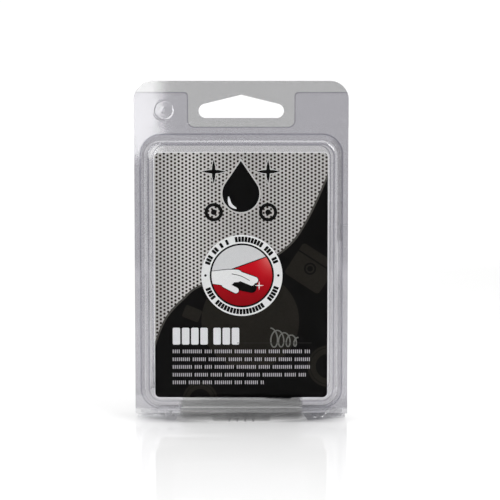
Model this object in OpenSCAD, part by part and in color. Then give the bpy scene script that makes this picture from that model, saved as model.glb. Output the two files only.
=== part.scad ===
// A bar of detailing clay in its clear, folded clamshell pack, with a printed card in each half.
// +Z is up, the front looks along -Y, and the origin is on the floor under the middle of the pack.

/* [Cards] */
// Width of each printed card
card_w = 74; // [60:0.5:90]
// Height of each printed card
card_h = 105; // [85:0.5:128]
// Thickness of the card stock
card_t = 0.35; // [0.2:0.05:0.6]
// Corner radius of the cards
card_r = 2; // [1:0.25:4]
// Gap between a card and the window it stands behind
card_gap = 0.4; // [0.3:0.05:1]

/* [Clay] */
// Width of the clay bar
clay_w = 60; // [48:0.5:72]
// Height of the clay bar
clay_h = 58; // [46:0.5:70]
// Thickness of the clay bar
clay_t = 16; // [12:0.5:20]
// Radius of the clay bar's moulded edges
clay_r = 3; // [2:0.25:4]
// Lean of the clay bar, its right end down
clay_lean = 5; // [0:0.5:6]
// Sideways place of the clay bar's middle
clay_x = -4.5; // [-6:0.25:0]
// How far the bar's low corner dips below the window
clay_dip = 0.9; // [0:0.1:1.2]
// Free play between the wrapped clay and each card
clay_play = 2.65; // [1:0.05:4]
// Thickness of the film round the clay
film_t = 0.1; // [0.08:0.01:0.2]
// Slack between the film and the clay
film_gap = 0.1; // [0.05:0.05:0.3]
// How far the film sleeve runs past each end of the clay
film_tail = 3; // [1:0.5:5]

/* [Clear sheet] */
// Thickness of the formed sheet
sheet = 0.4; // [0.3:0.05:0.6]
// Gap between the two closed flanges
seam_gap = 0.2; // [0.1:0.05:0.4]
// Width of the flange beside the bubble
flange_side = 2.5; // [2:0.25:6]
// Radius of the flange's two top corners
corner_r = 8; // [4:0.5:12]

/* [Bubble] */
// Clearance beside the widest thing inside, at the window
side_room = 2.5; // [1.5:0.1:5]
// Height of the card's foot above the window's lower edge
card_seat = 1.5; // [1.2:0.1:3]
// Free height above the card
head_room = 3.7; // [2:0.1:6]
// Slope of the side and top walls, as their run over the full depth
side_draft = 4.5; // [3:0.1:6]
// Slope of the bottom wall, as its run over the full depth
base_draft = 5.3; // [3:0.1:6]
// Corner radius where the bubble leaves the flange
bubble_r = 8.8; // [6:0.2:12]
// Corner radius of the window
window_r = 5.5; // [3:0.1:6]
// Rounding between the walls and the window
edge_r = 1.8; // [1:0.1:2.5]

/* [Foot] */
// Height of the foot, and of the bubble's lowest edge
foot_h = 4.2; // [3:0.1:8]
// Width of the neck that opens the bubble into the foot
neck_w = 53; // [40:0.5:60]
// How far the neck's front stands behind the window
neck_back = 0.6; // [0.4:0.1:1.2]
// How far the foot's ends stop short of the flange's edges
foot_end = 0.5; // [0:0.1:4]

/* [Hinge bead] */
// Outer radius of the folded bead
bead_r = 1; // [0.8:0.05:1.3]
// Clearance between the bead and what turns round it
bead_clear = 0.15; // [0.1:0.05:0.3]
// How far the bead's ends stop short of the flange's edges
bead_end = 1; // [0:0.25:4]
// Slope under each foot's heel, which lets the halves swing apart
heel_slope = 9; // [7:0.5:9.5]
// How deep the back flange is welded into the bead
bead_root = 0.2; // [0.1:0.05:0.3]

/* [Header] */
// Width of the hang hole
hole_w = 37; // [28:0.5:45]
// Height of the hang hole
hole_h = 10; // [8:0.5:13]
// Radius of the hang hole's two ends
hole_end_r = 3.1; // [2:0.1:3.5]
// Radius of the hang hole's peak
hole_peak_r = 1.5; // [0.5:0.1:2]
// Plain strip between the bubble and the pads
strip_h = 3; // [2:0.25:6]
// Sheet below the hang hole, above the pads' lower edge
hole_base = 4; // [3:0.25:8]
// Sheet above the hang hole
hole_roof = 6; // [4:0.25:10]
// Sheet between the hang hole's end and a pad
pad_side = 4.8; // [3:0.25:8]
// Height of the snap pads that nest in each other
pad_rise = 0.8; // [0.5:0.1:1.2]
// Radius of the pads' inner corners
pad_r = 3; // [1.5:0.25:4]
// Clearance round a nested pad
pad_clear = 0.3; // [0.2:0.05:0.5]
// Strip of flange above the pads
pad_roof = 5; // [3:0.25:7]

/* [Hidden] */
$fn = 64;
eps = 0.01;       // overlap that makes a cut run clean through
corner_fn = 32;   // facets of a hull's round corners
edge_steps = 4;   // bands in the rounding of the window's edge

half_seam = seam_gap / 2;
clay_half_span = (clay_w * cos(clay_lean) + clay_h * sin(clay_lean)) / 2;
clay_half_rise = (clay_h * cos(clay_lean) + clay_w * sin(clay_lean)) / 2;
contents_w = max(card_w, 2 * (clay_half_span + abs(clay_x)));
window_w = contents_w + 2 * side_room;
bubble_w = window_w + 2 * side_draft;
pack_w = bubble_w + 2 * flange_side;
film_out = film_gap + film_t;
depth = clay_t / 2 + film_out + clay_play + card_t + card_gap + sheet;
window_z = foot_h + base_draft;
card_z = window_z + card_seat;
window_top = card_z + card_h + head_room;
bubble_top = window_top + side_draft;
pad_z = bubble_top + strip_h;
hole_z = pad_z + hole_base;
pack_h = hole_z + hole_h + hole_roof;
pad_top = pack_h - pad_roof;
pad_x = hole_w / 2 + pad_side;
card_y = depth - sheet - card_gap;
clay_z = window_z - clay_dip + clay_half_rise;

// Stands a flat outline up, from depth y forwards by t
module upright(y, t) translate([0, -y, 0]) rotate([90, 0, 0]) linear_extrude(t) children();

// A rectangle with two round top corners, standing on z0
module arched(w, z0, z1, r) {
    translate([-w / 2, z0]) square([w, z1 - z0 - r]);
    translate([-w / 2 + r, z0]) square([w - 2 * r, z1 - z0]);
    for (s = [-1, 1]) translate([s * (w / 2 - r), z1 - r]) circle(r);
}

// A rectangle with four round corners, centred on x
module rounded(w, z0, z1, r) {
    translate([-w / 2, z0 + r]) square([w, z1 - z0 - 2 * r]);
    translate([-w / 2 + r, z0]) square([w - 2 * r, z1 - z0]);
    for (s = [-1, 1], z = [z0 + r, z1 - r]) translate([s * (w / 2 - r), z]) circle(r);
}

// One level of the bubble: its outline, run in by inset, at depth y
module bubble_level(y, inset) {
    r = bubble_r - inset * (bubble_r - window_r) / side_draft;
    low = foot_h + inset * base_draft / side_draft + r;
    high = bubble_top - inset - r;
    for (s = [-1, 1], z = [low, high])
        translate([s * (bubble_w / 2 - inset - r), -y, z])
            rotate([90, 0, 0]) cylinder(r = r, h = eps, $fn = corner_fn);
}

// The bubble's outside with skin 0, or its inside with skin one sheet
module bubble(skin) {
    er = edge_r - skin;
    hull() {
        bubble_level(half_seam - (skin > 0 ? sheet : 0), skin);
        for (i = [0:edge_steps]) {
            a = 90 * i / edge_steps;
            inset = side_draft - edge_r + skin + er * (1 - cos(a));
            bubble_level(depth - skin - er * (1 - sin(a)) - eps, inset);
        }
    }
}

// Bow-fronted foot, from z0 to z1
module foot(skin, z0, z1) {
    half_w = pack_w / 2 - foot_end;
    bow_r = (half_w * half_w + depth * depth) / (2 * depth);
    back = half_seam + skin;
    translate([0, 0, z0]) linear_extrude(z1 - z0) intersection() {
        translate([0, bow_r - depth]) circle(bow_r - skin, $fn = 180);
        translate([-pack_w / 2, -depth - eps]) square([pack_w, depth + eps - back]);
    }
}

// Square neck that opens the bubble into the foot
module neck(skin) {
    front = depth - neck_back - skin;
    z0 = foot_h - sheet + skin;
    translate([-neck_w / 2 + skin, -front, z0])
        cube([neck_w - 2 * skin, front - half_seam + (skin > 0 ? sheet : 0), window_z + edge_r - z0]);
}

// The part of the foot's cavity that lies under the neck
module neck_floor() {
    intersection() {
        foot(sheet, sheet, foot_h + eps);
        translate([-neck_w / 2 + sheet, -depth, 0]) cube([neck_w - 2 * sheet, depth, window_z]);
    }
}

// A round rod along the hinge's axis
module bead_axis_rod(r, end) {
    translate([-pack_w / 2 + end, 0, bead_r]) rotate([0, 90, 0]) cylinder(r = r, h = pack_w - 2 * end);
}

// The space under a foot's heel, raised by skin, from the hinge's axis forwards and down
module heel_relief(skin) {
    translate([-pack_w / 2 - eps, 0, bead_r]) rotate([heel_slope, 0, 0])
        translate([0, -2 * depth, skin - foot_h]) cube([pack_w + 2 * eps, 2 * depth + bead_r, foot_h]);
}

// Delta-shaped hang hole
module hang_hole_outline() {
    hull() {
        for (s = [-1, 1])
            translate([s * (hole_w / 2 - hole_end_r), hole_z + hole_end_r]) circle(hole_end_r);
        translate([0, hole_z + hole_h - hole_peak_r]) circle(hole_peak_r);
    }
}

// Outline of the two snap pads, which run off the flange's side edges, run in by inset on their inner sides
module pad_outline(inset) {
    r = pad_r - inset;
    x = pad_x + inset;
    z0 = pad_z + inset;
    z1 = pad_top - inset;
    reach = pack_w / 2 - x;
    intersection() {
        arched(pack_w, 0, pack_h, corner_r);
        for (s = [0, 1]) mirror([s, 0]) {
            translate([x, z0 + r]) square([reach, z1 - z0 - 2 * r]);
            translate([x + r, z0]) square([reach - r, z1 - z0]);
            for (z = [z0 + r, z1 - r]) translate([x + r, z]) circle(r);
        }
    }
}

// Bubble, foot and flange of either half, on the front side of the seam
module half_shell_body() {
    difference() {
        union() {
            upright(half_seam, sheet) arched(pack_w, bead_r, pack_h, corner_r);
            bubble(0);
            foot(0, 0, foot_h);
            neck(0);
        }
        bubble(sheet);
        neck(sheet);
        difference() {
            union() {
                foot(sheet, sheet, foot_h - sheet);
                neck_floor();
            }
            bead_axis_rod(bead_r + bead_clear + sheet, 0);
            heel_relief(sheet);
        }
        heel_relief(0);
    }
}

module front_shell() {
    color([0.86, 0.87, 0.89, 0.4]) difference() {
        union() {
            half_shell_body();
            upright(half_seam, sheet + pad_rise) pad_outline(0);
        }
        upright(half_seam - eps, pad_rise + eps) pad_outline(sheet);
        upright(-sheet, 3 * sheet) hang_hole_outline();
        bead_axis_rod(bead_r + bead_clear, -eps);
    }
}

module rear_shell() {
    color([0.8, 0.81, 0.84, 0.4]) difference() {
        union() {
            mirror([0, 1, 0]) half_shell_body();
            upright(-half_seam, pad_rise) pad_outline(sheet + pad_clear);
        }
        upright(-half_seam - sheet - eps, pad_rise + eps) pad_outline(2 * sheet + pad_clear);
        upright(-2 * sheet, 3 * sheet) hang_hole_outline();
        bead_axis_rod(bead_r - bead_root, -eps);
        difference() {
            bead_axis_rod(bead_r + bead_clear, -eps);
            translate([-pack_w / 2, half_seam, bead_r]) cube([pack_w, sheet, 2 * bead_r]);
        }
    }
}

// Folded bead, open between the two flanges
module living_hinge() {
    color([0.9, 0.91, 0.93, 0.5]) difference() {
        bead_axis_rod(bead_r, bead_end);
        bead_axis_rod(bead_r - sheet, -eps);
        translate([-pack_w / 2, -half_seam, bead_r]) cube([pack_w, seam_gap, 2 * bead_r]);
    }
}

module card(tint) {
    color(tint) upright(card_y - card_t, card_t) rounded(card_w, card_z, card_z + card_h, card_r);
}

module front_card() card([0.1, 0.1, 0.1]);

module rear_card() mirror([0, 1, 0]) card([0.75, 0.74, 0.72]);

// Places a shape that is centred on the clay bar
module at_clay() translate([clay_x, 0, clay_z]) rotate([0, clay_lean, 0]) children();

// A block with every edge rounded
module clay_bar() {
    color([0.06, 0.06, 0.06]) at_clay() intersection() {
        translate([0, clay_t / 2, 0]) rotate([90, 0, 0])
            linear_extrude(clay_t) rounded(clay_w, -clay_h / 2, clay_h / 2, clay_r);
        translate([0, 0, -clay_h / 2])
            linear_extrude(clay_h) rounded(clay_w, -clay_t / 2, clay_t / 2, clay_r);
        translate([-clay_w / 2, 0, 0]) rotate([90, 0, 90])
            linear_extrude(clay_w) rounded(clay_t, -clay_h / 2, clay_h / 2, clay_r);
    }
}

// Profile of the film sleeve, seen along the clay's length
module sleeve_profile(grow) {
    w = clay_t + 2 * grow;
    h = clay_h + 2 * grow;
    r = clay_r + grow;
    rounded(w, -h / 2, h / 2, r);
}

module clay_wrap() {
    length = clay_w + 2 * film_tail;
    color([0.9, 0.9, 0.9, 0.3]) at_clay() translate([-length / 2, 0, 0]) rotate([90, 0, 90])
        linear_extrude(length) difference() {
            sleeve_profile(film_out);
            sleeve_profile(film_gap);
        }
}

front_shell();
rear_shell();
living_hinge();
front_card();
rear_card();
clay_bar();
clay_wrap();
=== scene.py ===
"""A bar of detailing clay in its clear clamshell pack: the looks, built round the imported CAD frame.

Lengths are in millimetres where a name says MM or a print layout is drawn, and in metres elsewhere.
"""

import math
import random

import bmesh
import bpy
import numpy as np
from mathutils import Matrix, Vector, noise
from mathutils.geometry import delaunay_2d_cdt


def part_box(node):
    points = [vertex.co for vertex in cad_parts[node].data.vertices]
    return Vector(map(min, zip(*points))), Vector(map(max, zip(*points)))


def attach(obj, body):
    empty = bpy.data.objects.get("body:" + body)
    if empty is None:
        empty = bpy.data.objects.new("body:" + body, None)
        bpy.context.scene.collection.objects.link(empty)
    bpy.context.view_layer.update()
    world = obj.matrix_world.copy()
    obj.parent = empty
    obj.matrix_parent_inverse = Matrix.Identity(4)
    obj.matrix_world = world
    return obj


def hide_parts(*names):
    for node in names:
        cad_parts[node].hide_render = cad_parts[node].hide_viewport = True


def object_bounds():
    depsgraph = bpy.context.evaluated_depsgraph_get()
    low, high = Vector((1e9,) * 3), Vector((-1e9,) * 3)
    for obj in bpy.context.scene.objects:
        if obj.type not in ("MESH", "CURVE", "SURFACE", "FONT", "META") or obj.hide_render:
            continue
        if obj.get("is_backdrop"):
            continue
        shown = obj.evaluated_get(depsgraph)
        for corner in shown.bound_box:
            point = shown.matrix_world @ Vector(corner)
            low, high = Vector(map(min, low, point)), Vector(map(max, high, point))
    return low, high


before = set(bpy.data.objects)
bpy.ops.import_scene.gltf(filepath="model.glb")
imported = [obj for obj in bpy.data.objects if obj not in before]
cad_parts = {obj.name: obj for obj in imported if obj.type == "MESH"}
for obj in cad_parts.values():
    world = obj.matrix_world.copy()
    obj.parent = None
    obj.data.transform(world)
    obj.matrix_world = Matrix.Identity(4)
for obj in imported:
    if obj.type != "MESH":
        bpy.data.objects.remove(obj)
cad_lo, cad_hi = (v.copy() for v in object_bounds())

MM = 0.001
SEED = 7


# ---------------------------------------------------------------- node helpers


class Nodes:
    """A material's node tree, with short calls to add and join nodes."""

    def __init__(self, name):
        self.mat = bpy.data.materials.new(name)
        self.mat.use_nodes = True
        self.tree = self.mat.node_tree
        self.tree.nodes.clear()
        self.out = self.tree.nodes.new("ShaderNodeOutputMaterial")

    def add(self, kind, inputs=None, **settings):
        node = self.tree.nodes.new(kind)
        for key, value in settings.items():
            setattr(node, key, value)
        for key, value in (inputs or {}).items():
            self.put(node.inputs[key], value)
        return node

    def put(self, socket, value):
        if isinstance(value, bpy.types.NodeSocket):
            self.tree.links.new(value, socket)
        else:
            socket.default_value = value

    def math(self, operation, a, b=0.0, clamp=False):
        node = self.add("ShaderNodeMath", {0: a, 1: b}, operation=operation, use_clamp=clamp)
        return node.outputs[0]

    def vector(self, operation, a, b=(0.0, 0.0, 0.0)):
        node = self.add("ShaderNodeVectorMath", {0: a, 1: b}, operation=operation)
        return node.outputs["Value" if operation == "LENGTH" else "Vector"]

    def ramp(self, value, low, high, to_low=0.0, to_high=1.0):
        """value's stretch from low to high, as a smooth step from to_low to to_high."""
        node = self.add(
            "ShaderNodeMapRange",
            {"Value": value, "From Min": low, "From Max": high, "To Min": to_low, "To Max": to_high},
            interpolation_type="SMOOTHSTEP",
        )
        return node.outputs["Result"]

    def mix(self, share, a, b):
        node = self.add("ShaderNodeMix", data_type="RGBA")
        self.put(node.inputs["Factor"], share)
        self.put(node.inputs["A"], a)
        self.put(node.inputs["B"], b)
        return node.outputs["Result"]

    def place(self):
        """The point on the piece, in the row frame, in metres."""
        return self.add("ShaderNodeTexCoord").outputs["Object"]

    def noise(self, scale, detail=3.0, roughness=0.5, place=None):
        node = self.add(
            "ShaderNodeTexNoise",
            {"Vector": place or self.place(), "Scale": scale, "Detail": detail, "Roughness": roughness},
        )
        return node.outputs["Fac"]

    def bump(self, height, distance, strength=1.0):
        node = self.add("ShaderNodeBump", {"Height": height, "Distance": distance, "Strength": strength})
        return node.outputs["Normal"]

    def outer_fresnel(self, ior, normal):
        """How much a thin sheet's outer side reflects; its inner side adds nothing."""
        fresnel = self.add("ShaderNodeFresnel", {"IOR": ior, "Normal": normal}).outputs[0]
        inner = self.add("ShaderNodeNewGeometry").outputs["Backfacing"]
        return self.math("MULTIPLY", fresnel, self.math("SUBTRACT", 1.0, inner))

    def principled(self, **inputs):
        names = {k.replace("_", " "): v for k, v in inputs.items()}
        node = self.add("ShaderNodeBsdfPrincipled", names)
        self.tree.links.new(node.outputs[0], self.out.inputs["Surface"])
        return self.mat

    def bands(self, value, stops, warm=0.0):
        """A grey that runs through stops of (place, grey)."""
        node = self.add("ShaderNodeValToRGB", {"Fac": value})
        elements = node.color_ramp.elements
        while len(elements) < len(stops):
            elements.new(0.5)
        for element, (at, level) in zip(elements, stops):
            element.position, element.color = at, grey(level, warm)
        return node.outputs["Color"]

    def box_distance(self, place, centre, half, radius):
        """Signed distance in the XZ plane from a rectangle with round corners."""
        flat = self.vector("MULTIPLY", place, (1.0, 0.0, 1.0))
        away = self.vector("ABSOLUTE", self.vector("SUBTRACT", flat, (centre[0], 0.0, centre[1])))
        past = self.vector("SUBTRACT", away, (half[0] - radius, 0.0, half[1] - radius))
        outside = self.vector("LENGTH", self.vector("MAXIMUM", past))
        parts = self.add("ShaderNodeSeparateXYZ", {0: past})
        inside = self.math("MINIMUM", self.math("MAXIMUM", parts.outputs[0], parts.outputs[2]), 0.0)
        return self.math("SUBTRACT", self.math("ADD", outside, inside), radius)


def grey(value, warm=0.0):
    """A linear grey, a little warm or cool."""
    return (value * (1 + warm), value, value * (1 - warm), 1.0)


# ---------------------------------------------------------------- materials

SHELL_LO, SHELL_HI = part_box("front_shell")
CARD_LO, CARD_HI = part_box("front_card")
CLAY_LO, CLAY_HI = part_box("clay_bar")

FLANGE_SIDE = 2.5 * MM       # flange beside the bubble
HEADER = 23.0 * MM           # flange above the bubble
FOOT_H = 4.2 * MM            # the bubble's lowest edge
DRAFT = 4.5 * MM             # run of the bubble's walls
BASE_DRAFT = 5.3 * MM
BUBBLE_R, WINDOW_R = 8.8 * MM, 5.5 * MM
PAD_X, PAD_R = 23.3 * MM, 3.0 * MM
PAD_Z, PAD_TOP = SHELL_HI.z - 20.0 * MM, SHELL_HI.z - 5.0 * MM
CARD_R = 2.0 * MM

bubble_rect = (SHELL_LO.x + FLANGE_SIDE, FOOT_H, SHELL_HI.x - FLANGE_SIDE, SHELL_HI.z - HEADER)
window_rect = (
    bubble_rect[0] + DRAFT, bubble_rect[1] + BASE_DRAFT, bubble_rect[2] - DRAFT, bubble_rect[3] - DRAFT,
)
card_rect = (CARD_LO.x, CARD_LO.z, CARD_HI.x, CARD_HI.z)

# the header's recess round the hang hole; all beside and below it is raised
RECESS_RECT = (-PAD_X, PAD_Z, PAD_X, SHELL_HI.z + 60 * MM)
NECK_RECT = (-26 * MM, -4 * MM, 26 * MM, 12 * MM)
EMBOSS_AT, EMBOSS_R = (-33.5 * MM, 0.0, 134.5 * MM), 4.4 * MM

# rectangle, corner radius, half width and strength of each darker bend: painted shade along the bend
BEND_SHADE_LINES = [
    (bubble_rect, BUBBLE_R, 0.5 * MM, 0.35),
    (window_rect, WINDOW_R, 0.4 * MM, 0.5),
]

# share of light each surface of the sheet lets through
SHEET_TINT = (0.837, 0.837, 0.839, 1)
LAND_TINT = (0.814, 0.811, 0.825, 1)
WALL_TINT = (0.765, 0.762, 0.777, 1)
MARGIN_TINT = (0.855, 0.853, 0.858, 1)  # the window's clear margin round the card
SHEET_IOR = 1.9  # stands for both sides of the sheet, as only its outer side reflects
CARD_CALM = 0.11  # taken off the reflection over the card, to keep its black dark
CARD_TINT = (0.97, 0.972, 0.975, 1)
# painted shade: the grey of the dark lines along the bends
BEND_SHADE_TINT = (0.45, 0.445, 0.50, 1)
# painted light: share let through below the bubble's lowest edge
FOOT_LIGHT_TINT = (0.935, 0.935, 0.94, 1)
PAINTED_SHADE_TINT = (0.32, 0.32, 0.34, 1)  # painted shade, mixed in towards the right of the foot and neck
# painted shade: share of light through the neck, from its foot to its top
NECK_SHADE_BANDS = (
    (0.0, 0.93), (0.27, 0.90), (0.38, 0.77), (0.55, 0.72),
    (0.62, 0.48), (0.78, 0.50), (0.86, 0.88), (1.0, 0.92),
)


def middle_half(rect):
    """A rectangle's middle and half sizes."""
    x0, z0, x1, z1 = rect
    return ((x0 + x1) / 2, (z0 + z1) / 2), ((x1 - x0) / 2, (z1 - z0) / 2)


def clear_sheet():
    """Formed clear sheet: grey and glossy, clearest over the card, with painted shade along its bends, and
    painted light and shade on its foot and neck.
    """
    n = Nodes("clear_sheet")
    place = n.place()
    across, _, up = n.add("ShaderNodeSeparateXYZ", {0: place}).outputs
    beside_hole = n.box_distance(place, *middle_half(RECESS_RECT), PAD_R)
    above_pads = n.math("SUBTRACT", PAD_TOP, up)
    joined = {0: beside_hole, 1: above_pads, 2: PAD_R}
    recess = n.add("ShaderNodeMath", joined, operation="SMOOTH_MIN").outputs[0]
    # painted shade: dark lines along the bubble's bends and the recess's edge
    bends = [(n.box_distance(place, *middle_half(rect), radius), *line) for rect, radius, *line in BEND_SHADE_LINES]
    bends.append((recess, 0.4 * MM, 0.3))
    bend_shade = 0.0
    for off, width, strength in bends:
        bend_shade = n.math("MAXIMUM", n.ramp(n.math("ABSOLUTE", off), 0.0, width, strength, 0.0), bend_shade)
    over_card = n.ramp(n.box_distance(place, *middle_half(card_rect), CARD_R), 0.0, 0.7 * MM, 1.0, 0.0)
    facing = n.add("ShaderNodeLayerWeight", {"Blend": 0.5}).outputs["Facing"]
    land = n.ramp(recess, 0.0, 0.4 * MM)
    off_window = n.box_distance(place, *middle_half(window_rect), WINDOW_R)
    in_window = n.ramp(off_window, -0.3 * MM, 0.3 * MM, 1.0, 0.0)
    flat = n.mix(in_window, n.mix(land, SHEET_TINT, LAND_TINT), MARGIN_TINT)
    plain = n.mix(over_card, flat, CARD_TINT)
    steep = n.mix(n.ramp(facing, 0.3, 0.9), plain, WALL_TINT)
    bend_shaded = n.mix(bend_shade, steep, BEND_SHADE_TINT)
    # painted light: the sheet lets more through below the bubble's lowest edge
    low = n.ramp(up, FOOT_H - 0.6 * MM, FOOT_H + 0.6 * MM, 1.0, 0.0)
    footed = n.mix(low, bend_shaded, FOOT_LIGHT_TINT)
    neck = n.ramp(n.box_distance(place, *middle_half(NECK_RECT), 1 * MM), -1 * MM, 1 * MM, 1.0, 0.0)
    # painted shade on the neck, by height
    neck_painted_shade = n.bands(n.math("DIVIDE", up, NECK_RECT[3]), NECK_SHADE_BANDS)
    based = n.mix(neck, footed, neck_painted_shade)
    # painted shade towards the right of the foot and neck
    foot = n.ramp(up, 6 * MM, 11 * MM, 1.0, 0.0)
    foot_shade = n.math("MULTIPLY", n.ramp(across, -32 * MM, 28 * MM, 0.0, 0.09), foot)
    neck_top = n.ramp(up, 9.2 * MM, 10 * MM)
    neck_shade = n.math("MULTIPLY", n.ramp(across, -24 * MM, -4 * MM, 0.0, 0.27), neck_top)
    shade = n.math("MAXIMUM", foot_shade, n.math("MULTIPLY", neck, neck_shade))
    # painted light: the foot made lighter low down and towards its left
    below = n.ramp(up, 9.5 * MM, 10.5 * MM, 1.0, 0.0)
    left_painted_light = n.math("MULTIPLY", n.ramp(across, -32 * MM, -10 * MM, 0.2, 0.0), below)
    through = n.mix(left_painted_light, n.mix(shade, based, PAINTED_SHADE_TINT), (1, 1, 1, 1))
    ring = n.vector("LENGTH", n.vector("MULTIPLY", n.vector("SUBTRACT", place, EMBOSS_AT), (1.0, 0.0, 1.0)))
    raised = n.ramp(n.math("ABSOLUTE", n.math("SUBTRACT", ring, EMBOSS_R)), 0.1 * MM, 0.7 * MM, 1.0, 0.0)
    dab = n.ramp(ring, 0.8 * MM, 1.7 * MM, 1.0, 0.0)
    height = n.math("ADD", n.noise(38.0, 2.0), n.math("MULTIPLY", n.math("ADD", raised, dab), 0.6))
    wavy = n.bump(height, 0.5 * MM, 0.2)
    glare = n.math("SUBTRACT", n.outer_fresnel(SHEET_IOR, wavy), n.math("MULTIPLY", over_card, CARD_CALM))
    shine = n.math("MAXIMUM", glare, 0.0)
    clear = n.add("ShaderNodeBsdfTransparent", {"Color": through})
    gloss = n.add("ShaderNodeBsdfGlossy", {"Color": (1, 1, 1, 1), "Roughness": 0.07, "Normal": wavy})
    mixed = n.add("ShaderNodeMixShader", {0: shine, 1: clear.outputs[0], 2: gloss.outputs[0]})
    n.tree.links.new(mixed.outputs[0], n.out.inputs["Surface"])
    return n.mat


def film():
    """Thin crumpled film round the clay."""
    n = Nodes("film")
    folds = n.add("ShaderNodeTexVoronoi", {"Vector": n.place(), "Scale": 130.0}, feature="DISTANCE_TO_EDGE")
    ridges = n.ramp(folds.outputs["Distance"], 0.0, 0.35)
    crinkle = n.bump(n.math("ADD", ridges, n.noise(260.0, 4.0, 0.6)), 0.9 * MM, 1.0)
    fresnel = n.outer_fresnel(1.35, crinkle)
    clear = n.add("ShaderNodeBsdfTransparent", {"Color": grey(0.93)})
    gloss = n.add("ShaderNodeBsdfGlossy", {"Color": grey(0.95), "Roughness": 0.1, "Normal": crinkle})
    mixed = n.add("ShaderNodeMixShader", {0: fresnel, 1: clear.outputs[0], 2: gloss.outputs[0]})
    n.tree.links.new(mixed.outputs[0], n.out.inputs["Surface"])
    return n.mat


INK_IOR = 1.15


def ink(name, colour, roughness=0.38, mottle=0.06):
    """Printed ink on coated card, with faint mottle and the card's grain."""
    n = Nodes(name)
    spots = n.noise(900.0, 4.0)
    light = tuple(min(1.0, c * (1 + mottle)) for c in colour[:3]) + (1.0,)
    dark = tuple(c * (1 - mottle) for c in colour[:3]) + (1.0,)
    return n.principled(
        Base_Color=n.mix(spots, dark, light),
        Roughness=n.ramp(n.noise(300.0), 0.3, 0.7, roughness - 0.04, roughness + 0.05),
        IOR=INK_IOR,
        Normal=n.bump(spots, 0.02 * MM, 0.3),
    )


DOT_COLUMNS, DOT_ROWS, DOT_R = 1.575 * MM, 1.63 * MM, 0.53 * MM
METAL_BANDS = (
    (0.0, 0.50), (0.1, 0.60), (0.2, 0.72), (0.33, 0.60), (0.5, 0.53), (0.62, 0.50), (0.75, 0.58), (1.0, 0.54),
)


def dotted_ink():
    """Perforated-metal print: staggered dark dots on a brushed warm grey."""
    n = Nodes("dotted_ink")
    place = n.vector("SUBTRACT", n.place(), (CARD_LO.x, 0.0, CARD_LO.z))
    near = []
    for shift_x, shift_z in ((0.4, 0.3), (0.4 + 1.0, 0.3 + 0.5)):
        moved = n.vector("ADD", place, (shift_x * DOT_COLUMNS, 0.0, shift_z * DOT_ROWS))
        cell = n.vector("DIVIDE", moved, (2 * DOT_COLUMNS, 1.0, DOT_ROWS))
        offset = n.vector("SUBTRACT", n.vector("FRACTION", cell), (0.5, 0.0, 0.5))
        near.append(n.vector("LENGTH", n.vector("MULTIPLY", offset, (2 * DOT_COLUMNS, 0.0, DOT_ROWS))))
    dot = n.ramp(n.math("MINIMUM", *near), DOT_R * 0.72, DOT_R * 1.25, 1.0, 0.0)
    across = n.add("ShaderNodeSeparateXYZ", {0: place}).outputs[0]
    share = n.math("DIVIDE", across, CARD_HI.x - CARD_LO.x)
    sheen = n.bands(share, METAL_BANDS, 0.035)
    stretched = n.vector("MULTIPLY", place, (1400.0, 0.0, 22.0))
    brushed = n.math("MULTIPLY", n.noise(1.0, 3.0, place=stretched), 0.16)
    metal = n.mix(brushed, sheen, grey(0.35))
    return n.principled(
        Base_Color=n.mix(dot, metal, (0.022, 0.014, 0.010, 1)),
        Roughness=0.36,
        IOR=INK_IOR,
        Normal=n.bump(n.noise(900.0), 0.02 * MM, 0.3),
    )


def red_ink():
    """Red panel, bright towards its upper right and dark at its foot."""
    n = Nodes("red_ink")
    parts = n.add("ShaderNodeSeparateXYZ", {0: n.place()})
    low = CARD_HI.z - (BADGE[1] + BADGE_R * 0.75) * MM
    rise = n.ramp(parts.outputs[2], low, low + BADGE_R * 1.3 * MM)
    side = n.ramp(parts.outputs[0], CARD_LO.x + (BADGE[0] - 4) * MM, CARD_LO.x + (BADGE[0] + 13) * MM)
    glow = n.math("MULTIPLY", rise, side)
    base = n.mix(rise, (0.30, 0.004, 0.008, 1), (0.66, 0.006, 0.016, 1))
    lit = n.mix(n.math("POWER", glow, 6.0), base, (0.80, 0.22, 0.20, 1))
    return n.principled(Base_Color=lit, Roughness=0.36, IOR=INK_IOR)


def board():
    """Uncoated back and cut edge of the card."""
    n = Nodes("board")
    fibre = n.noise(1400.0, 5.0, 0.7)
    return n.principled(
        Base_Color=n.mix(fibre, grey(0.60, 0.02), grey(0.74, 0.02)),
        Roughness=0.85,
        Normal=n.bump(fibre, 0.03 * MM, 0.5),
    )


def clay():
    """Dense black putty, with dull sheen, pits and knead marks."""
    n = Nodes("clay")
    lumps = n.noise(120.0, 4.0, 0.55)
    grain = n.noise(2200.0, 3.0)
    height = n.math("ADD", lumps, n.math("MULTIPLY", grain, 0.12))
    return n.principled(
        Base_Color=n.mix(lumps, (0.006, 0.006, 0.007, 1), (0.020, 0.020, 0.021, 1)),
        Roughness=n.ramp(lumps, 0.35, 0.65, 0.42, 0.62),
        IOR=1.3,
        Normal=n.bump(height, 0.5 * MM, 0.5),
    )


# ---------------------------------------------------------------- mesh helpers


def link(name, mesh, body, slot, *replaced):
    piece = bpy.data.objects.new(name, mesh)
    bpy.context.scene.collection.objects.link(piece)
    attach(piece, body)
    if replaced:
        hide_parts(*replaced)
    return piece


def smooth(mesh, degrees=35):
    """Smooth shading, with hard edges where faces meet at more than this angle."""
    mesh.polygons.foreach_set("use_smooth", [True] * len(mesh.polygons))
    mesh.set_sharp_from_angle(angle=math.radians(degrees))


def apply_modifiers(piece):
    """Bakes the piece's modifiers into its mesh."""
    shown = piece.evaluated_get(bpy.context.evaluated_depsgraph_get())
    mesh = bpy.data.meshes.new_from_object(shown)
    piece.modifiers.clear()
    piece.data = mesh
    return mesh


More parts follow.
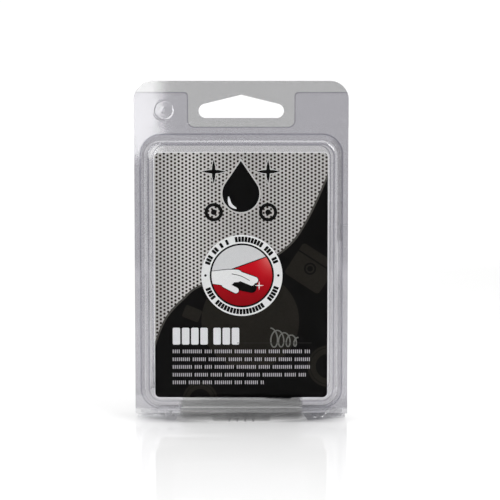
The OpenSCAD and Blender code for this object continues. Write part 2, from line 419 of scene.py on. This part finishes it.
# ---------------------------------------------------------------- print shapes, in card millimetres
# A point is (across from the card's left edge, down from its top edge).


def circle(centre, radius, steps=48):
    turn = [2 * math.pi * i / steps for i in range(steps)]
    return [(centre[0] + radius * math.cos(a), centre[1] + radius * math.sin(a)) for a in turn]


def turned(points, degrees, about):
    c, s = math.cos(math.radians(degrees)), math.sin(math.radians(degrees))
    ax, ay = about
    return [(ax + (x - ax) * c - (y - ay) * s, ay + (x - ax) * s + (y - ay) * c) for x, y in points]


def round_box(x0, y0, x1, y1, radius, steps=6):
    """A rectangle with round corners."""
    points = []
    corners = ((x1, y1, 0), (x0, y1, 90), (x0, y0, 180), (x1, y0, 270))
    for x, y, start in corners:
        cx = x - math.copysign(radius, x - (x0 + x1) / 2)
        cy = y - math.copysign(radius, y - (y0 + y1) / 2)
        for i in range(steps + 1):
            a = math.radians(start + 90 * i / steps)
            points.append((cx + radius * math.cos(a), cy + radius * math.sin(a)))
    return points


def capsule(a, b, radius, steps=10):
    """A round-ended bar from a to b."""
    along = math.atan2(b[1] - a[1], b[0] - a[0])
    points = []
    for (x, y), start in ((b, along - math.pi / 2), (a, along + math.pi / 2)):
        for i in range(steps + 1):
            t = start + math.pi * i / steps
            points.append((x + radius * math.cos(t), y + radius * math.sin(t)))
    return points


def star(centre, radius, waist=0.2, points=4, steps=5):
    """A sparkle: spikes joined by hollow curves."""
    outline = []
    for k in range(points):
        for i in range(steps):
            t = i / steps
            a = 2 * math.pi * (k + t) / points
            r = radius * (waist + (1 - waist) * abs(1 - 2 * t) ** 2.6)
            outline.append((centre[0] + r * math.sin(a), centre[1] - r * math.cos(a)))
    return outline


def drop(centre, radius, height, steps=40):
    """A water drop, its tip height above its middle."""
    left_painted_light = math.acos(radius / height)
    outline = [(centre[0], centre[1] - height)]
    for i in range(steps + 1):
        a = -math.pi / 2 + left_painted_light + (2 * math.pi - 2 * left_painted_light) * i / steps
        outline.append((centre[0] + radius * math.cos(a), centre[1] + radius * math.sin(a)))
    return outline


def curve_through(points, steps=8):
    """A smooth open curve through points."""
    ends = [points[0], *points, points[-1]]
    line = []
    for k in range(1, len(ends) - 2):
        p0, p1, p2, p3 = (Vector(p) for p in ends[k - 1 : k + 3])
        for i in range(steps):
            t = i / steps
            bend, twist = 2 * p0 - 5 * p1 + 4 * p2 - p3, 3 * p1 - p0 - 3 * p2 + p3
            line.append(tuple(0.5 * (2 * p1 + (p2 - p0) * t + bend * t**2 + twist * t**3)))
    return [*line, points[-1]]


def ribbon(line, half_width):
    """The outline of a pen stroke along an open line.

    half_width is a number or a function of the share along the line.
    """
    left, right = [], []
    for i, (x, y) in enumerate(line):
        a, b = line[max(i - 1, 0)], line[min(i + 1, len(line) - 1)]
        d = math.hypot(b[0] - a[0], b[1] - a[1]) or 1.0
        w = half_width(i / (len(line) - 1)) if callable(half_width) else half_width
        nx, ny = -(b[1] - a[1]) / d * w, (b[0] - a[0]) / d * w
        left.append((x + nx, y + ny))
        right.append((x - nx, y - ny))
    return left + right[::-1]


def inside(loop, x, y):
    """Which points lie inside a closed loop."""
    hit = np.zeros(len(x), bool)
    for (x0, y0), (x1, y1) in zip(loop, [*loop[1:], loop[0]]):
        if y0 != y1:
            hit ^= ((y0 > y) != (y1 > y)) & (x < (x1 - x0) * (y - y0) / (y1 - y0) + x0)
    return hit


def printed_card(name, node, body, slot, size, corner, layers, materials, facing):
    """A card whose printed face is cut into flat regions of ink.

    layers is a painter's list of (ink, loops); facing is -1 for a face that looks along -Y and 1 along +Y.
    """
    lo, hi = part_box(node)
    w, h = size
    outline = round_box(0, 0, w, h, corner, 8)
    loops = [outline] + [loop for _, group in layers for loop in group]
    points, edges = [], []
    for loop in loops:
        first = len(points)
        points += [Vector(p) for p in loop]
        edges += [(first + i, first + (i + 1) % len(loop)) for i in range(len(loop))]
    verts, _, faces, *_ = delaunay_2d_cdt(points, edges, [], 0, 1e-5)
    flat = np.array([v[:] for v in verts])
    faces = [f for f in faces if len(set(f)) > 2]
    mid = np.array([flat[list(f)].mean(0) for f in faces])
    slots = list(materials)
    choice = np.zeros(len(faces), int)
    for ink_name, group in layers:
        hit = np.zeros(len(faces), bool)
        for loop in group:
            hit ^= inside(loop, mid[:, 0], mid[:, 1])
        choice[hit] = slots.index(ink_name)
    keep = inside(outline, mid[:, 0], mid[:, 1])
    face_y = lo.y if facing < 0 else hi.y
    across = (lambda u: lo.x + u * MM) if facing < 0 else (lambda u: hi.x - u * MM)
    bm = bmesh.new()
    made = [bm.verts.new((across(u), face_y, hi.z - v * MM)) for u, v in flat]
    for f, c, k in zip(faces, choice, keep):
        if k:
            bm.faces.new([made[i] for i in f]).material_index = int(c)
    bmesh.ops.delete(bm, geom=[v for v in bm.verts if not v.link_faces], context="VERTS")
    rim = [e for e in bm.edges if e.is_boundary]
    walls = bmesh.ops.extrude_edge_only(bm, edges=rim)["geom"]
    moved = [g for g in walls if isinstance(g, bmesh.types.BMVert)]
    for v in moved:
        v.co.y = hi.y if facing < 0 else lo.y
    back = bmesh.ops.holes_fill(bm, edges=[e for e in bm.edges if e.is_boundary])["faces"]
    plain = slots.index("board")
    for f in [*back, *(g for g in walls if isinstance(g, bmesh.types.BMFace))]:
        f.material_index = plain
    bmesh.ops.recalc_face_normals(bm, faces=bm.faces)
    mesh = bpy.data.meshes.new(name)
    bm.to_mesh(mesh)
    bm.free()
    for m in materials.values():
        mesh.materials.append(m)
    return link(name, mesh, body, slot, node)


# ---------------------------------------------------------------- front print

CARD_W, CARD_H = (CARD_HI.x - CARD_LO.x) / MM, (CARD_HI.z - CARD_LO.z) / MM
BADGE, BADGE_R = (37.3, 52.4), 17.4
rng = random.Random(SEED)


def sweep(shift=0.0):
    """The dark field's edge, from the card's right side to its left, moved up and left by shift."""
    right = [(CARD_W + 2, 6.5), (74, 10.7), (65.6, 28.8), (56.5, 41.1), (40, 50.5)]
    line = [*right, (19.8, 57.2), (12.5, 62.8), (5.6, 70.3), (1.2, 79.9), (-2, 92)]
    edge = [(x - shift, y - shift) for x, y in curve_through(line)]
    return [*edge, (-2, CARD_H + 2), (CARD_W + 2, CARD_H + 2)]


def word_marks(x0, x1, base, tall, pitch, stroke, words):
    """A line of plain ticks in groups, where a line of text would stand."""
    marks, x = [], x0
    while x < x1 - 2 * pitch:
        for _ in range(rng.choice(words)):
            if x > x1 - stroke:
                break
            marks.append([(x, base - tall), (x + stroke, base - tall), (x + stroke, base), (x, base)])
            x += pitch
        x += pitch
    return marks


def emblem():
    """A water drop among two sparkles and two rings."""
    middle = (36.9, 17.4)
    left, right = 25.3, 48.5
    halo = [drop(middle, 8.5, 15.0)] + [star((x, 8.0), 6.0, 0.3) for x in (left, right)]
    shine = curve_through([(31.6, 18.6), (32.4, 22.0), (35.0, 23.8)])
    layers = [("halo_ink", [loop]) for loop in halo]
    layers.append(("black_ink", [drop(middle, 7.9, 14.0)]))
    layers.append(("soft_white_ink", [ribbon(shine, lambda t: 0.15 + 0.55 * math.sin(math.pi * t))]))
    for x in (left, right):
        layers.append(("black_ink", [star((x, 8.0), 5.2, 0.22)]))
        layers.append(("black_ink", [circle((x, 25.3), 3.9), circle((x, 25.3), 2.5)]))
        layers.append(("black_ink", [circle((x, 25.3), 1.2, 24)]))
    return layers


def badge():
    """A round badge: a ring of marks round a hand that rubs a bar over a red panel."""
    cx, cy = BADGE
    layers = [("white_ink", [circle(BADGE, BADGE_R, 96)])]
    for start, stop in ((-160, -20), (20, 160)):
        angle = start
        while angle <= stop:
            if rng.random() > 0.12:
                mark = round_box(cx + 14.4, cy - 0.58, cx + 16.7, cy + 0.58, 0.2, 3)
                layers.append(("black_ink", [turned(mark, angle, BADGE)]))
            angle += 5.1
    for angle in (0, 180):
        layers.append(("black_ink", [turned(circle((cx + 15.6, cy), 0.55, 16), angle, BADGE)]))
    layers.append(("black_ink", [circle(BADGE, 13.75, 96)]))
    inner = circle(BADGE, 13.0, 96)
    layers.append(("pale_ink", [inner]))

    def panel_edge(x):
        return cy - 1.0 - 0.36 * (x + 9.0)

    layers.append(("red_ink", [[p for p in inner if p[1] > panel_edge(p[0] - cx)]]))
    rim = [(cx + x, panel_edge(x)) for x in (-12.7, 10.2)]
    layers.append(("black_ink", [ribbon(rim, 0.22)]))
    fingers = [((-2.5, -0.9), (5.6, 2.0), 1.35), ((-3.0, 0.2), (4.3, 3.2), 1.2)]
    thumb = ((-7.4, 3.9), (-2.6, 6.4), 1.25)
    arm = ((-16.5, 1.2), (-6.2, 1.0), 3.5)
    palm = ((-6.4, 0.2), (-2.2, 0.2), 2.7)
    bar = turned(round_box(cx - 5.6, cy + 0.8, cx + 6.6, cy + 6.6, 2.2), 12, (cx, cy + 3.7))

    def bars(extra):
        limbs = (arm, *fingers, palm)
        return [capsule((cx + a[0], cy + a[1]), (cx + b[0], cy + b[1]), r + extra) for a, b, r in limbs]

    round_edge = 12.98
    for extra, name in ((0.32, "black_ink"), (0.0, "white_ink")):
        for shape in bars(extra):
            layers.append((name, [clipped(shape, BADGE, round_edge)]))
        if extra:
            layers.append(("black_ink", [bar]))
        a, b, r = thumb
        layers.append((name, [capsule((cx + a[0], cy + a[1]), (cx + b[0], cy + b[1]), r + extra)]))
    knuckle = curve_through([(cx - 4.4, cy - 0.7), (cx - 0.5, cy + 0.2), (cx + 3.4, cy + 2.2)])
    layers.append(("black_ink", [ribbon(knuckle, 0.14)]))
    layers.append(("white_ink", [star((cx + 7.4, cy + 4.3), 2.0, 0.16)]))
    return layers


def clipped(loop, centre, radius):
    """A loop whose points past a circle are drawn in to it."""
    points = []
    for x, y in loop:
        away = math.hypot(x - centre[0], y - centre[1])
        pull = min(1.0, radius / away)
        points.append((centre[0] + (x - centre[0]) * pull, centre[1] + (y - centre[1]) * pull))
    return points


def watermarks():
    """Faint rings and plates on the dark field."""
    disc, low, side, plate = (40.9, 72.0), (19.3, 106.0), (74.5, 91.5), (66.5, 49.5)
    layers = [("deep_ink", [circle(disc, 21.0, 72)])]
    for centre, outer, bore in ((low, 7.6, 4.6), (side, 9.0, 5.4)):
        layers.append(("deep_ink", [circle(centre, outer), circle(centre, bore)]))
        layers.append(("black_ink", [circle(centre, outer - 1.0), circle(centre, outer - 1.25)]))
    block = turned(round_box(58.0, 41.5, 75.5, 57.0, 1.5), 33, plate)
    layers.append(("deep_ink", [block]))
    layers.append(("black_ink", [turned(round_box(57.0, 45.2, 77.0, 45.8, 0.2), 33, plate)]))
    layers.append(("black_ink", [circle(plate, 2.6), circle(plate, 1.9)]))
    layers.append(("black_ink", [circle(plate, 1.2)]))
    layers.append(("deep_ink", [turned(round_box(12.5, 66.0, 20.0, 71.5, 0.8), 22, (16, 68))]))
    return layers


def title():
    """Seven plain bold blocks where a title would stand."""
    marks, x = [], 7.6
    for i in range(7):
        marks.append(("soft_white_ink", [round_box(x, 74.9, x + 3.2, 82.2, 0.6, 4)]))
        x += 3.2 + (0.75 if i != 3 else 2.4)
    return marks


def flourish():
    """A looping pen stroke with no letter in it."""
    line = []
    for i in range(91):
        t = i / 90
        size = 4.2 - 2.6 * t
        a = 2 * math.pi * 4.5 * t
        line.append((49.6 + 13.5 * t + 0.55 * size * math.sin(a), 79.2 + 2.0 * t - size * math.cos(a)))
    strokes = [line[i : i + 11] for i in range(0, 80, 10)]
    return [("pen_ink", [ribbon(s, 0.3)]) for s in strokes]


def front_layers():
    layers = [("edge_ink", [sweep(0.65)]), ("black_ink", [sweep()])]
    layers += watermarks()
    layers += emblem()
    layers += badge()
    layers += title()
    layers += flourish()
    layers.append(("rule_ink", [[(35.2, 81.35), (67.2, 81.35), (67.2, 81.6), (35.2, 81.6)]]))
    for base, end in ((85.9, 67.0), (89.3, 67.0), (92.6, 67.0), (96.0, 67.0), (99.3, 47.2)):
        words = word_marks(7.6, end, base, 1.55, 0.86, 0.36, (4, 5, 6, 7, 9, 10))
        layers += [("text_ink", [mark]) for mark in words]
    return layers


def rear_layers():
    """Plain directions: a dark head, three steps as pictures, lines of ticks and a plain bar pattern."""
    layers = [("black_ink", [[(-1, -1), (75, -1), (75, 17), (-1, 17)]])]
    layers += [("red_ink_flat", [[(-1, 17), (75, 17), (75, 18.4), (-1, 18.4)]])]
    layers += [("soft_white_ink", [round_box(6 + 6.2 * i, 6, 11 + 6.2 * i, 11.5, 0.8, 4)]) for i in range(7)]
    for row in range(3):
        cy = 29.5 + 18.5 * row
        layers.append(("black_ink", [circle((13.5, cy), 7.2, 64)]))
        layers.append(("pale_ink", [circle((13.5, cy), 6.5, 64)]))
        bar = turned(round_box(9.5, cy - 1.8, 17.5, cy + 2.2, 1.3), -14 * (row - 1), (13.5, cy))
        layers.append(("black_ink", [bar]))
        if row == 0:
            layers += [("red_ink_flat", [drop((13.5 + s, cy - 3.6), 0.8, 1.7, 16)]) for s in (-2.4, 0, 2.4)]
        elif row == 1:
            layers += [("red_ink_flat", [capsule((10, cy + 4.2), (17, cy + 4.2), 0.35)])]
        else:
            layers += [("red_ink_flat", [star((15.5, cy - 3.8), 1.9, 0.2)])]
        for line in range(4):
            end, base = (68 if line < 3 else 52), cy - 4.2 + 3.3 * line
            words = word_marks(24, end, base, 1.45, 0.9, 0.36, (3, 5, 6, 8))
            layers += [("black_ink", [mark]) for mark in words]
    for line in range(4):
        words = word_marks(6, 40, 87 + 3.1 * line, 1.3, 0.82, 0.34, (4, 6, 7))
        layers += [("black_ink", [mark]) for mark in words]
    x = 47.0
    while x < 67:
        width = rng.choice((0.3, 0.3, 0.6, 0.9))
        layers.append(("black_ink", [[(x, 85.5), (x + width, 85.5), (x + width, 97), (x, 97)]]))
        x += width + rng.choice((0.35, 0.6))
    return layers


INKS = {
    "black_ink": ink("black_ink", (0.0045, 0.0043, 0.0042), 0.32),
    "deep_ink": ink("deep_ink", (0.0175, 0.0155, 0.0125), 0.34, 0.25),
    "edge_ink": ink("edge_ink", (0.075, 0.07, 0.062), 0.36),
    "halo_ink": ink("halo_ink", (0.62, 0.61, 0.59), 0.36),
    "white_ink": ink("white_ink", (0.88, 0.88, 0.87), 0.36),
    "soft_white_ink": ink("soft_white_ink", (0.85, 0.85, 0.86), 0.36),
    "pale_ink": ink("pale_ink", (0.70, 0.70, 0.70), 0.36),
    "pen_ink": ink("pen_ink", (0.17, 0.17, 0.155), 0.36),
    "rule_ink": ink("rule_ink", (0.03, 0.028, 0.026), 0.36),
    "text_ink": ink("text_ink", (0.62, 0.60, 0.64), 0.36),
    "red_ink_flat": ink("red_ink_flat", (0.45, 0.014, 0.02), 0.36),
    "board": board(),
}


def named(*names):
    return {name: INKS[name] for name in names}


def front_card():
    inks = {"dotted_ink": dotted_ink(), **named("black_ink", "deep_ink", "edge_ink", "halo_ink", "white_ink")}
    inks.update(named("soft_white_ink", "pale_ink", "pen_ink", "rule_ink", "text_ink", "board"))
    inks["red_ink"] = red_ink()
    names = ("front_card_print", "front_card", "front_print", "front_print")
    return printed_card(*names, (CARD_W, CARD_H), CARD_R / MM, front_layers(), inks, -1)


def rear_card():
    inks = named("halo_ink", "black_ink", "soft_white_ink", "pale_ink", "red_ink_flat", "board")
    names = ("rear_card_print", "rear_card", "rear_print", "rear_print")
    return printed_card(*names, (CARD_W, CARD_H), CARD_R / MM, rear_layers(), inks, 1)


# ---------------------------------------------------------------- clay, film and shells

LEAN = math.radians(5)


def clay_block():
    """The bar: a rounded block, softly dented by the hand that packed it."""
    centre = (CLAY_LO + CLAY_HI) / 2
    half = Vector((30, 8, 29)) * MM
    radius = 3 * MM
    bm = bmesh.new()
    bmesh.ops.create_cube(bm, size=2.0)
    bmesh.ops.subdivide_edges(bm, edges=bm.edges, cuts=40, use_grid_fill=True)
    for v in bm.verts:
        p = Vector(v.co[i] * half[i] for i in range(3))
        core = Vector(max(-half[i] + radius, min(half[i] - radius, p[i])) for i in range(3))
        out = p - core
        p = core + out.normalized() * radius if out.length > 1e-9 else p
        dent = noise.noise(p * 70) * 0.35 * MM + noise.noise(p * 240) * 0.08 * MM
        out = p - core
        flat_side = Vector((0, math.copysign(1, p.y), 0))
        direction = out.normalized() if out.length > 1e-9 else flat_side
        v.co = p + direction * (min(dent, 0.02 * MM) - 0.12 * MM)
    mesh = bpy.data.meshes.new("clay")
    bm.to_mesh(mesh)
    bm.free()
    mesh.transform(Matrix.Translation(centre) @ Matrix.Rotation(LEAN, 4, "Y"))
    mesh.materials.append(clay())
    smooth(mesh, 60)
    return link("clay_block", mesh, "bar", "clay", "clay_bar")


def film_sleeve():
    """Open-ended film sleeve: loose and crinkled."""
    centre = (CLAY_LO + CLAY_HI) / 2
    half_y, half_z, radius = 8.15 * MM, 29.15 * MM, 3.1 * MM
    length, stations = 65 * MM, 60
    outline = round_box(-half_y, -half_z, half_y, half_z, radius, 7)
    bm = bmesh.new()
    rings = []
    for i in range(stations + 1):
        x = (i / stations - 0.5) * length
        ring = []
        for y, z in outline:
            p = Vector((x, y, z))
            p += Vector((0, y, z)).normalized() * abs(noise.noise(p * 160)) * 0.25 * MM
            ring.append(bm.verts.new(p))
        rings.append(ring)
    for a, b in zip(rings, rings[1:]):
        for j in range(len(outline)):
            k = (j + 1) % len(outline)
            bm.faces.new((a[j], a[k], b[k], b[j]))
    mesh = bpy.data.meshes.new("film")
    bm.to_mesh(mesh)
    bm.free()
    mesh.transform(Matrix.Translation(centre) @ Matrix.Rotation(LEAN, 4, "Y"))
    mesh.materials.append(film())
    piece = link("film_sleeve", mesh, "bar", "film", "clay_wrap")
    skin = piece.modifiers.new("skin", "SOLIDIFY")
    skin.thickness, skin.offset = 0.06 * MM, 1.0
    apply_modifiers(piece)
    smooth(piece.data, 60)
    return piece


def clear_copy(name, node, body, material):
    """A clear half of the pack, from the CAD solid's own shape."""
    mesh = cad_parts[node].data.copy()
    bm = bmesh.new()
    bm.from_mesh(mesh)
    bmesh.ops.remove_doubles(bm, verts=bm.verts, dist=1e-6)
    bmesh.ops.dissolve_limit(bm, angle_limit=math.radians(0.4), verts=bm.verts, edges=bm.edges)
    bm.to_mesh(mesh)
    bm.free()
    mesh.materials.clear()
    mesh.materials.append(material)
    smooth(mesh, 30)
    piece = link(name, mesh, body, "clear_sheet", node)
    even = piece.modifiers.new("even", "WEIGHTED_NORMAL")
    even.keep_sharp, even.weight = True, 100
    return piece


# ---------------------------------------------------------------- set


def studio():
    scene = bpy.context.scene
    scene.view_settings.view_transform = "Standard"
    scene.cycles.transparent_max_bounces = 32
    scene.cycles.max_bounces = 12
    world = bpy.data.worlds.new("studio")
    scene.world = world
    world.use_nodes = True
    world.node_tree.nodes["Background"].inputs["Color"].default_value = (1, 1, 1, 1)
    world.node_tree.nodes["Background"].inputs["Strength"].default_value = 1.05
    side = 4.0
    bm = bmesh.new()
    corners = [bm.verts.new((x * side, y * side, 0)) for x, y in ((-1, -1), (1, -1), (1, 1), (-1, 1))]
    bm.faces.new(corners)
    mesh = bpy.data.meshes.new("floor")
    bm.to_mesh(mesh)
    bm.free()
    n = Nodes("floor")
    mesh.materials.append(
        n.principled(
            Base_Color=grey(0.95),
            Roughness=n.ramp(n.noise(30.0), 0.3, 0.7, 0.045, 0.06),
            IOR=1.5,
            Specular_IOR_Level=0.17,
        )
    )
    floor = bpy.data.objects.new("floor", mesh)
    scene.collection.objects.link(floor)
    floor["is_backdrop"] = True


def flag(name, at, towards, width, height, shade):
    """A dark card out of the camera's sight, for the pack's faces to reflect."""
    n = Nodes(name)
    n.principled(Base_Color=grey(shade), Roughness=1.0)
    w, h = width / 2, height / 2
    mesh = bpy.data.meshes.new(name)
    mesh.from_pydata([(-w, -h, 0), (w, -h, 0), (w, h, 0), (-w, h, 0)], [], [(0, 1, 2, 3)])
    mesh.materials.append(n.mat)
    card = bpy.data.objects.new(name, mesh)
    card.visible_camera = False
    card.location = at
    card.rotation_euler = (Vector(towards) - Vector(at)).to_track_quat("Z", "Y").to_euler()
    bpy.context.scene.collection.objects.link(card)
    card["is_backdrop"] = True


def soft_light(name, at, towards, width, height, radiance):
    """A softbox of this size and brightness."""
    data = bpy.data.lights.new(name, "AREA")
    data.shape, data.size, data.size_y = "RECTANGLE", width, height
    data.energy = radiance * math.pi * width * height
    lamp = bpy.data.objects.new(name, data)
    lamp.location = at
    lamp.rotation_euler = (Vector(towards) - Vector(at)).to_track_quat("-Z", "Y").to_euler()
    bpy.context.scene.collection.objects.link(lamp)


CAMERA_AT = Vector((0.0033, -0.5632, 0.1081))
CAMERA_PITCH, CAMERA_YAW, CAMERA_LENS = 3.48, -0.05, 93.1


def camera():
    data = bpy.data.cameras.new("camera")
    data.lens, data.sensor_width = CAMERA_LENS, 36.0
    eye = bpy.data.objects.new("camera", data)
    eye.location = CAMERA_AT
    eye.rotation_euler = (math.radians(90 - CAMERA_PITCH), 0, math.radians(CAMERA_YAW))
    bpy.context.scene.collection.objects.link(eye)
    bpy.context.scene.camera = eye


camera()
studio()
flag("front_flag", (0, -0.75, 0.71), (0, 0, 0.71), 1.6, 1.4, 0.04)
flag("right_flag", (0.62, 0.72, 0.36), (0, 0, 0.1), 0.6, 0.7, 0.3)
soft_light("left_softbox", (-0.186, -0.56, 0.2), (-0.186, 0, 0.2), 0.225, 0.155, 3.6)
soft_light("top_softbox", (0, -0.15, 0.9), (0, -0.1, 0), 0.9, 0.9, 1.05)
soft_light("right_softbox", (0.45, -0.5, 0.5), (0, 0, 0.08), 0.35, 0.35, 5.5)
front_card()
rear_card()
clay_block()
film_sleeve()
sheet_material = clear_sheet()
clear_copy("clear_front", "front_shell", "front_half", sheet_material)
clear_copy("clear_rear", "rear_shell", "rear_half", sheet_material)
clear_copy("clear_bead", "living_hinge", "rear_half", sheet_material)
